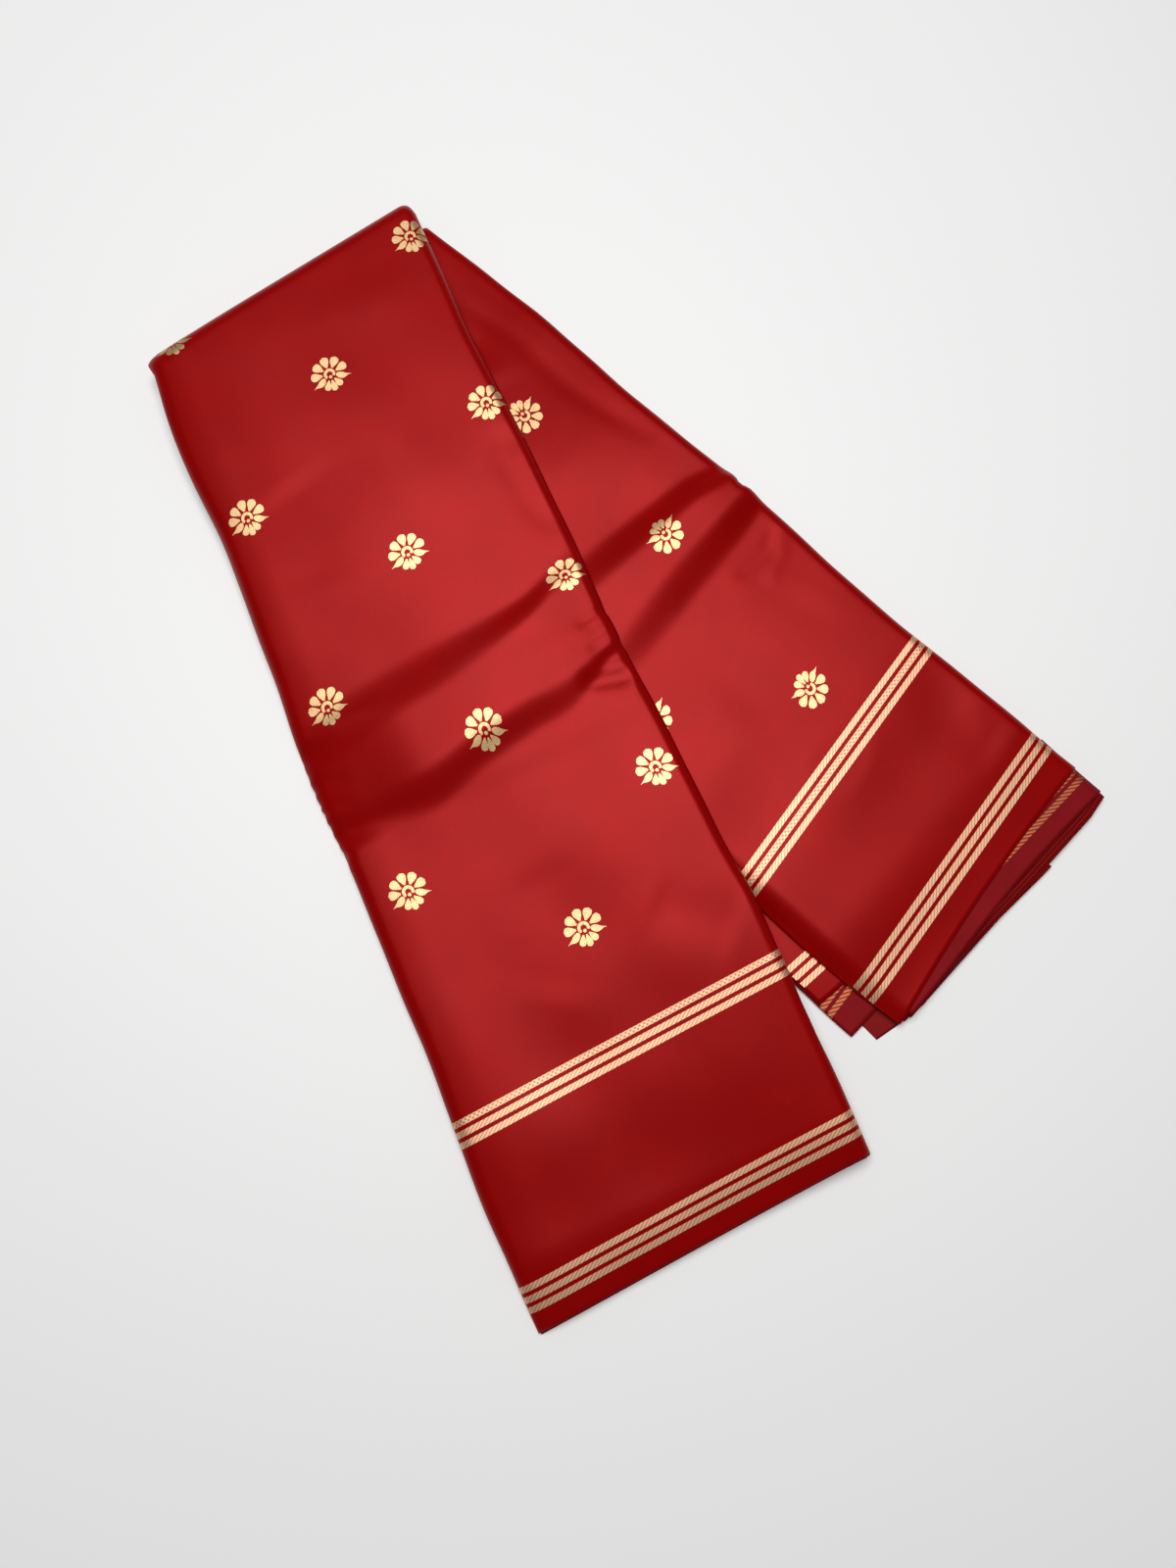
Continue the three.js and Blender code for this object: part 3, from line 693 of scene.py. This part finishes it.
def edge_inset(leg, k, side, seed):
    """How far a layer's folded edge lies in from the leg's own edge, uneven along the leg."""
    made = np.random.default_rng(seed + 31 * k + (7 if side > 0 else 0))
    phases, lengths = made.uniform(0, 6.3, 3), made.uniform(28, 110, 3)
    rest = made.uniform(0.2, 1.6)
    height = (k + 0.5) / LAYERS
    rounded = asin(min(max((height * 0.9 - SHOULDER) / (1 - SHOULDER), 0.0), 1.0))
    roll = leg.roll["left" if side < 0 else "right"]
    covered = roll * (1 - cos(rounded)) + COVERED_INSET

    def inset(station):
        waves = sum(np.sin(station * 2 * pi / n + p) for n, p in zip(lengths, phases)) / 3
        open_edge = np.maximum(rest + 0.9 * waves, 0.0)
        if height > OPEN_BELOW:
            return covered + 0.4 * waves
        if leg is UnderLeg and side < 0:
            low = height * UNDER_HEIGHT < LEDGE + 0.2
            left, spread = (curve(UNDER_EDGES, edge, station) for edge in ("left", "spread"))
            return spread - left + open_edge if low else LEAF_TUCK + 0.6 + open_edge
        return open_edge
    return inset


def pile(name, leg, first, last, seed, upper_drop, node, tucked=()):
    """The stacked layers of a leg. The upper ones end further in."""
    stations = np.concatenate([np.arange(first, last, 5.0), [last]])
    made = np.random.default_rng(seed)
    layers = list(tucked)
    for k in range(LAYERS):
        step = made.uniform(-0.5, 0.4) - upper_drop * smooth(2 * k / (LAYERS - 1) - 0.9)
        insets = [edge_inset(leg, k, side, seed) for side in (-1, 1)]
        layers.append((k, *insets, lambda t, step=step: step))
    tubes = [folded_layer(leg, level, stations, *shape) for level, *shape in layers]
    around, along = np.meshgrid(np.linspace(0, 180, tubes[0].shape[1]), stations)
    woven = [np.stack([around + 40 * level, along], -1) for level, *_ in layers]
    stack = ring_stack(name, tubes, woven)
    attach(stack, "root")
    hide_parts(node)
    return stack


# One layer of the under leg is narrower and sticks out a little at its own right edge.
SHORT_LEVEL, SHORT_LEFT, SHORT_RIGHT = 3.4, 20.0, 49.3  # its place in the pile, and its insets
short = (SHORT_LEVEL, lambda station: SHORT_LEFT, lambda station: SHORT_RIGHT,
         lambda t: 1.9 * ramp(t, 8, 30) - 0.4)
top_folds = pile("top_folds", TopLeg, turn_end + 2.0, TOP_LENGTH, seed=5, upper_drop=2.6,
                 node="top_layers")
under_folds = pile("under_folds", UnderLeg, under_start + 2.0, 523.0, seed=17, upper_drop=7.5,
                   node="under_layers", tucked=[short])


# ---------------- layers inside the fold
# Behind the outer cloth the other layers turn over the fold too, one inside another. Their
# ends show at the fold's two corners as a few small steps.
TURN_LAYERS = 6
TURN_PITCH, TURN_HALF_THICKNESS = 1.5, 0.65
TURN_REACH, TURN_STEP = 81.8, 0.3  # half the outermost one's length, and each next one's step in


def turned_layer(k, made):
    """One layer of the fold as a ring of points at each place along the fold's line."""
    depth = TURN_PITCH * (k + 1)
    ends = TURN_REACH - TURN_STEP * k + made.uniform(-0.6, 0.8, 2)
    rows = []
    for share in np.concatenate([[-1.0, -0.995, -0.985], np.linspace(-0.97, 0.97, 30), [0.985, 0.995, 1.0]]):
        # Towards its ends the layer draws in, and at them it thins to a rounded edge.
        w = share * (ends[0] if share < 0 else ends[1])
        thin = sqrt(max(1 - abs(share) ** 60, 0.02))
        blunt = mix(0.70, 1.0, smooth((1 - abs(share)) / 0.22))
        ring = []
        for hand in (-1, 1):
            deep = depth + TURN_HALF_THICKNESS * (1 + hand * thin)
            for turn in np.radians(np.linspace(-90, 90, 15)) * -hand:
                reach = FOLD_REACH - NOSE_DEPTH + (NOSE_DEPTH - deep) * cos(turn) * blunt
                plan = FOLD_MIDPOINT + w * FOLD_LINE + reach * FOLD_OUT
                ring.append((*plan, NOSE_HEIGHT + (NOSE_HEIGHT - deep) * blunt * sin(turn)))
        rows.append(ring)
    return np.array(rows)


turn_random = np.random.default_rng(23)
turned = [turned_layer(k, turn_random) for k in range(TURN_LAYERS)]
fold_layers = ring_stack("fold_layers", turned, [rings[:, :, :2] for rings in turned])
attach(fold_layers, "root")


# ---------------- woven gold flowers
# Small flowers brocaded in zari, a flat gilt thread wound on a core. Each stands a hair proud
# of the silk and repeats over the body of the cloth, every other column half a step on.
ZARI_LOW, ZARI_HIGH = -0.12, 0.16  # millimetres below and above the face of the silk
MOTIF_ALONG, MOTIF_ACROSS = 110.0, 71.5  # from flower to flower


def ribbon(parts, left, right, cuts):
    """Adds a raised flat shape between two lines with the same number of points."""
    points, faces = parts
    start, columns = len(points), cuts + 1
    flat = [np.array(a) * (1 - j / cuts) + np.array(b) * j / cuts
            for a, b in zip(left, right) for j in range(columns)]
    points += [(x, y, z) for z in (ZARI_HIGH, ZARI_LOW) for x, y in flat]
    faces += slab_faces(len(left), columns, start, flip=True)


def spine_ribbon(parts, spine, half_widths, cuts=4):
    """A raised shape along a spine, with its half width at each point."""
    spine, half = np.array(spine, float), np.array(half_widths, float)[:, None]
    way = np.gradient(spine, axis=0)
    way /= np.linalg.norm(way, axis=1, keepdims=True)
    side = np.stack([-way[:, 1], way[:, 0]], 1)
    ribbon(parts, spine + side * half, spine - side * half, cuts)


def polar(radius, degrees):
    """A point at a distance from the flower's middle, at an angle from its upright."""
    return (radius * sin(radians(degrees)), radius * cos(radians(degrees)))


def petal(parts, degrees, near, far, width):
    """A round-ended petal, narrow towards the middle of the flower."""
    WIDEST, NECK = 0.68, 0.20  # the place of its full width, and its width at the near end, as shares
    steps = np.linspace(0, 1, 11)
    spine = [polar(mix(near, far, k), degrees) for k in steps]
    swell = [width / 2 * (NECK + (1 - NECK) * sin(min(k / WIDEST, 1) * pi / 2) ** 1.3)
             * sqrt(max(1 - (max(k - WIDEST, 0) / (1 - WIDEST)) ** 2.4, 0.004)) for k in steps]
    spine_ribbon(parts, spine, swell)


def tipped_leaf(parts, hand):
    """A leaf beside the lowest petal, whose pointed tip curls away downwards."""
    HALF_WIDTH, TIP_HALF_WIDTH, CURL_FROM = 1.8, 0.14, 0.74
    steps = np.linspace(0, 1, 13)
    spine = []
    for k in steps:
        x, y = polar(mix(3.4, 11.4, k), 110 + 9 * sin(k * pi) - 3 * k)
        spine.append((hand * x, y - 9.5 * max(k - CURL_FROM, 0) ** 1.5))
    swell = [HALF_WIDTH * sin(pi * min(k / 0.92, 1) ** 0.8) ** 0.7
             * (1 - 0.5 * max(k - 0.5, 0) / 0.5) for k in steps]
    spine_ribbon(parts, spine, np.maximum(swell, TIP_HALF_WIDTH))


def flower(turned):
    """The flower as flat raised shapes round its middle; `turned` puts it upside down."""
    parts = ([], [])
    for degrees in (-78, -39, 0, 39, 78):
        petal(parts, degrees, 4.1, 10.6, 4.7)
    for hand in (-1, 1):
        tipped_leaf(parts, hand)
    for degrees, far in ((153, 9.4), (181, 10.0), (208, 9.4)):
        petal(parts, degrees, 3.5, far, 3.5)
    hook = np.radians(np.linspace(-128, 128, 17))
    spine_ribbon(parts, [(2.45 * sin(a), 2.45 * cos(a) + 0.2) for a in hook],
                 [0.85 * cos(a / 2.7) ** 0.5 for a in hook], cuts=2)
    seed = [(0.0, -1.5 + k) for k in (-0.9, -0.5, 0, 0.5, 0.9)]
    spine_ribbon(parts, seed, [0.25, 0.78, 0.92, 0.78, 0.25], cuts=2)
    points, faces = parts
    sign = -1 if turned else 1
    return [(sign * x, sign * y, z) for x, y, z in points], faces


def lay_on_cloth_tree():
    """Repeats a flat shape over a cloth's own flat map, and bends it onto the cloth's face."""
    tree = bpy.data.node_groups.new("lay_on_cloth", "GeometryNodeTree")
    for name, kind in (("Shape", "Geometry"), ("Cloth", "Object"), ("Columns", "Int"), ("Rows", "Int"),
                       ("Column Step", "Float"), ("Row Step", "Float"), ("Half Drop", "Float"),
                       ("First", "Vector"), ("Material", "Material")):
        tree.interface.new_socket(name, in_out="INPUT", socket_type="NodeSocket" + kind)
    tree.interface.new_socket("Geometry", in_out="OUTPUT", socket_type="NodeSocketGeometry")
    given = add(tree, "NodeGroupInput").outputs
    flat = add(tree, "GeometryNodeInputPosition")
    marked = add(tree, "GeometryNodeStoreNamedAttribute",
                 {"Geometry": given["Shape"], "Name": "woven", "Value": flat},
                 data_type="FLOAT2", domain="CORNER")
    # One point for each copy, in rows and columns on the flat cloth.
    count = add(tree, "ShaderNodeMath", {0: given["Columns"], 1: given["Rows"]}, operation="MULTIPLY")
    points = add(tree, "GeometryNodePoints", {"Count": count})
    index = add(tree, "GeometryNodeInputIndex")
    column = add(tree, "ShaderNodeMath", {0: index, 1: given["Columns"]}, operation="MODULO")
    row = add(tree, "ShaderNodeMath", {0: index, 1: given["Columns"]}, operation="DIVIDE")
    row = add(tree, "ShaderNodeMath", {0: row}, operation="FLOOR")
    odd = add(tree, "ShaderNodeMath", {0: column, 1: 2.0}, operation="MODULO")
    drop = add(tree, "ShaderNodeMath", {0: odd, 1: given["Half Drop"]}, operation="MULTIPLY")
    across = add(tree, "ShaderNodeMath", {0: column, 1: given["Column Step"]}, operation="MULTIPLY")
    along = add(tree, "ShaderNodeMath", {0: row, 1: given["Row Step"], 2: drop}, operation="MULTIPLY_ADD")
    step = add(tree, "ShaderNodeCombineXYZ", {"X": across, "Y": along})
    start = add(tree, "ShaderNodeVectorMath", {0: given["First"], 1: step}, operation="ADD")
    placed = add(tree, "GeometryNodeSetPosition", {"Geometry": points, "Position": start})
    copies = add(tree, "GeometryNodeInstanceOnPoints", {"Points": placed, "Instance": marked})
    single = add(tree, "GeometryNodeRealizeInstances", {"Geometry": copies})
    # Each point of a copy is looked up on the cloth by its place on the flat map.
    cloth = add(tree, "GeometryNodeObjectInfo", {"Object": given["Cloth"]}, transform_space="RELATIVE")
    cloth_map = add(tree, "GeometryNodeInputNamedAttribute", {"Name": "cloth"}, data_type="FLOAT_VECTOR")
    apart = add(tree, "ShaderNodeSeparateXYZ", {0: add(tree, "GeometryNodeInputPosition")}).outputs
    at = add(tree, "ShaderNodeCombineXYZ", {"X": apart["X"], "Y": apart["Y"]})
    place, normal = [
        add(tree, "GeometryNodeSampleUVSurface",
            {"Mesh": cloth.outputs["Geometry"], "Value": add(tree, "GeometryNodeInput" + field),
             "UV Map": cloth_map, "Sample UV": at}, data_type="FLOAT_VECTOR")
        for field in ("Position", "Normal")]
    lift = add(tree, "ShaderNodeVectorMath", {0: normal, "Scale": apart["Z"]}, operation="SCALE")
    on_face = add(tree, "ShaderNodeVectorMath", {0: place, 1: lift}, operation="ADD")
    missed = add(tree, "FunctionNodeBooleanMath", {0: place.outputs["Is Valid"]}, operation="NOT")
    marked = add(tree, "GeometryNodeStoreNamedAttribute",
                 {"Geometry": single, "Name": "off_cloth", "Value": missed},
                 data_type="BOOLEAN", domain="POINT")
    bent = add(tree, "GeometryNodeSetPosition", {"Geometry": marked, "Position": on_face})
    off = add(tree, "GeometryNodeInputNamedAttribute", {"Name": "off_cloth"}, data_type="BOOLEAN")
    cut = add(tree, "GeometryNodeDeleteGeometry", {"Geometry": bent, "Selection": off}, domain="POINT")
    whole = add(tree, "GeometryNodeRealizeInstances", {"Geometry": cut})
    painted = add(tree, "GeometryNodeSetMaterial", {"Geometry": whole, "Material": given["Material"]})
    add(tree, "NodeGroupOutput", {"Geometry": painted})
    return tree


LAY_ON_CLOTH = lay_on_cloth_tree()


def lay(name, shape, cloth, material, columns, rows, first, row_step=MOTIF_ALONG, half_drop=0.0):
    """Weaves copies of a flat shape, in millimetres, into a cloth, and gives the plain mesh."""
    points, faces = shape
    source = mesh_object(name + "_flat", points, faces)
    modifier = source.modifiers.new("lay", "NODES")
    modifier.node_group = LAY_ON_CLOTH
    values = {"Cloth": cloth, "Columns": columns, "Rows": rows, "Column Step": MOTIF_ACROSS * MM,
              "Row Step": row_step * MM, "Half Drop": half_drop * MM,
              "First": (first[0] * MM, first[1] * MM, 0.0), "Material": material}
    for item in LAY_ON_CLOTH.interface.items_tree:
        if item.in_out == "INPUT" and item.name in values:
            modifier[item.identifier] = values[item.name]
    bpy.context.view_layer.update()
    graph = bpy.context.evaluated_depsgraph_get()
    mesh = bpy.data.meshes.new_from_object(
        source.evaluated_get(graph), preserve_all_data_layers=True, depsgraph=graph)
    bpy.data.objects.remove(source)
    mesh.name = name
    mesh.set_sharp_from_angle(angle=radians(40))
    made = new_object(name, mesh)
    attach(made, "root")
    return made


def zari(name, gold, roughness, pattern):
    """Gilt thread: metal, pale cream where it faces the light and copper where it turns away.

    `pattern` gives how much of the red ground shows between the threads.
    """
    made, tree, shader = new_material(name, **{"Metallic": 0.84, "Roughness": roughness})
    ground = pattern(tree, add(tree, "ShaderNodeUVMap", uv_map="woven"))
    colour = add(tree, "ShaderNodeMix", {"Factor": ground, "A": linear(gold), "B": linear("9a2a1c")},
                 data_type="RGBA")
    tree.links.new(colour.outputs["Result"], shader.inputs["Base Color"])
    return made


def speckle(tree, place):
    """Binding stitches where single red threads cross the gold.

    They are some tenths of a millimetre apart, and drawn 0.9 mm apart, the closest that shows.
    """
    STITCH = 0.0009
    spots = add(tree, "ShaderNodeTexVoronoi", {"Vector": place, "Scale": 1 / STITCH}).outputs["Distance"]
    return add(tree, "ShaderNodeMapRange",
               {"Value": spots, "From Min": 0.36, "From Max": 0.16, "To Max": 0.6})


butti_zari = zari("gilt_zari_brocade", "d8b482", 0.45, speckle)
top_buttis = lay("top_buttis", flower(turned=True), top_face, butti_zari, columns=3, rows=5,
                 first=(-75.5, 9.3 - MOTIF_ALONG), half_drop=57.2)
under_buttis = lay("under_buttis", flower(turned=False), under_face, butti_zari, columns=2, rows=4,
                   first=(-35.5, 153.4 - MOTIF_ALONG), half_drop=-MOTIF_ALONG / 2)


# ---------------- striped border bands
# Two bands of three narrow zari stripes run beside the selvage. All are a twill, but one
# stripe of each inner band is a dotted chain.
STRIPE, STRIPE_STEP = 3.2, 5.3
BAND_REACH = 112.0  # half the length laid out, more than any leg's width


def stripe():
    """One raised stripe that runs right across the cloth."""
    parts = ([], [])
    places = np.arange(-BAND_REACH, BAND_REACH + 1, 2.0)
    ribbon(parts, [(u, STRIPE / 2) for u in places], [(u, -STRIPE / 2) for u in places], 3)
    return parts


def band(name, cloth, material, stripes, first, step=STRIPE_STEP):
    """Lays stripes side by side across a cloth, the first of them this far along it."""
    return lay(name, stripe(), cloth, material, 1, stripes, (0, first), row_step=step)


def twill(lean, half_pitch, start, full, most):
    """A pattern of diagonal floats at an angle to the stripe, with the red ground between.

    The ground starts to show at one share of the half pitch and shows most at another. The
    floats are about 1.25 mm apart, and drawn 1.6 to 1.8 mm apart, the closest that shows.
    """
    def pattern(tree, place):
        normal = (-sin(lean) / half_pitch, cos(lean) / half_pitch, 0.0)
        across = add(tree, "ShaderNodeVectorMath", {0: place, 1: normal}, operation="DOT_PRODUCT")
        share = add(tree, "ShaderNodeMath", {0: across.outputs["Value"], 1: 1.0}, operation="PINGPONG")
        return add(tree, "ShaderNodeMapRange",
                   {"Value": share, "From Min": start, "From Max": full, "To Max": most})
    return pattern


def chain(tree, place):
    """Two rows of dots in step, one above the other, with the red ground round them."""
    DOT = 0.0013
    scaled = add(tree, "ShaderNodeVectorMath", {0: place, 1: (pi / DOT, pi / DOT, 0.0)},
                 operation="MULTIPLY")
    apart = add(tree, "ShaderNodeSeparateXYZ", {0: scaled}).outputs
    waves = [add(tree, "ShaderNodeMath", {0: apart[axis]}, operation="SINE") for axis in ("X", "Y")]
    dots = add(tree, "ShaderNodeMath", {0: waves[0], 1: waves[1]}, operation="MULTIPLY")
    return add(tree, "ShaderNodeMapRange",
               {"Value": dots, "From Min": 0.15, "From Max": -0.35, "To Max": 0.6})


TWILL_LEAN = radians(35)
twill_zari = zari("gilt_zari_twill", "f8c8a0", 0.53,
                  twill(TWILL_LEAN, half_pitch=0.0008, start=0.45, full=0.95, most=0.66))
chain_zari = zari("gilt_zari_chain", "f8c8a0", 0.53, chain)
# The middle stripe of each band, along the flat cloth.
TOP_INNER, TOP_OUTER = 459.1, 545.4
UNDER_INNER, UNDER_OUTER = 408.4, 489.4
LOW_OUTER = 474.9
top_chain = band("top_band_chain", top_face, chain_zari, 1, TOP_INNER - STRIPE_STEP)
top_inner = band("top_band_inner", top_face, twill_zari, 2, TOP_INNER)
top_outer = band("top_band_outer", top_face, twill_zari, 3, TOP_OUTER - STRIPE_STEP)
under_chain = band("under_band_chain", under_face, chain_zari, 1, UNDER_INNER)
under_inner = band("under_band_inner", under_face, twill_zari, 2, UNDER_INNER - STRIPE_STEP,
                   step=2 * STRIPE_STEP)
under_outer = band("under_band_outer", under_face, twill_zari, 3, UNDER_OUTER - STRIPE_STEP)
low_band = band("low_leaf_band", low_right_face, twill_zari, 3, LOW_OUTER - STRIPE_STEP)


# ---------------- the bands' copper backs
# On the cloth's wrong side the same zari runs behind the red threads, so it shows thinner and
# more copper. The twill leans the other way there.
END_BACK, LOW_BACK = 503.0, 482.1
copper_zari = zari("copper_zari_back", "c47e56", 0.53,
                   twill(-TWILL_LEAN, half_pitch=0.0009, start=0.2, full=0.8, most=1.0))
end_back = band("end_leaf_band", end_face, copper_zari, 2, END_BACK - STRIPE_STEP)
low_back = band("low_leaf_back_band", low_wrong_face, copper_zari, 2, LOW_BACK - STRIPE_STEP)


# ---------------- what each sheet is cut to
# Each stretch that shows is part of one length of about 6 m by 1.14 m. Its flat size is taken
# along and across the cloth itself, round the edges and the fold.
def flat_size(woven):
    """Width and length of a stretch of cloth, in metres, over its own flat map."""
    width = np.ptp(woven[..., 0], axis=1).mean()
    length = np.ptp(woven[..., 1], axis=0).mean()
    return float(width * MM), float(length * MM)


flat_size(top_woven)
flat_size(under_woven)
flat_size(end_woven)
flat_size(low_right_woven)
flat_size(low_wrong_woven)

for face in (top_face, under_face, end_face, low_right_face, low_wrong_face):
    bpy.data.objects.remove(face)
